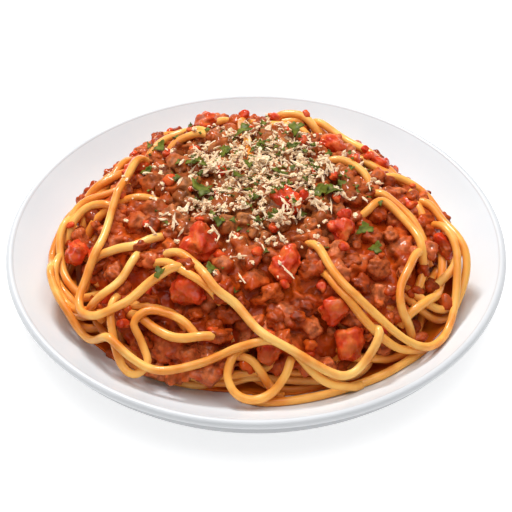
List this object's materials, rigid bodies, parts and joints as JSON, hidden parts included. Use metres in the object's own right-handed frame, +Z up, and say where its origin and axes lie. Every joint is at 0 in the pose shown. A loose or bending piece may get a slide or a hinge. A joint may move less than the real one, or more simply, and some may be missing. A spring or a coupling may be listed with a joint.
{
  "type": "spaghetti bolognese on a plate",
  "caption": "Spaghetti with minced meat sauce, tomato dice, grated cheese and parsley, heaped on a round white coupe plate that stands on its foot ring.",
  "frame": {"origin": "on the table under the middle of the plate, at the bottom of its foot ring", "axes": "+Z up, along the plate's axis; -Y towards the diner; +X to the diner's right"},
  "size_m": [0.2298, 0.2298, 0.0598],
  "materials": {
    "porcelain": "gloss",
    "pasta": "satin",
    "meat_sauce": "gloss",
    "tomato": "gloss",
    "cheese": "matte",
    "parsley": "satin",
    "thin_sauce": "gloss"
  },
  "bodies": {
    "root": {"plate": "porcelain", "spaghetti": "pasta", "meat_sauce": "meat_sauce", "tomato_01": "tomato", "tomato_02": "tomato", "tomato_03": "tomato", "tomato_04": "tomato", "tomato_05": "tomato", "tomato_06": "tomato", "tomato_07": "tomato", "tomato_08": "tomato", "tomato_09": "tomato", "tomato_10": "tomato", "tomato_11": "tomato", "tomato_12": "tomato", "tomato_13": "tomato", "tomato_14": "tomato"}
  },
  "joints": []
}
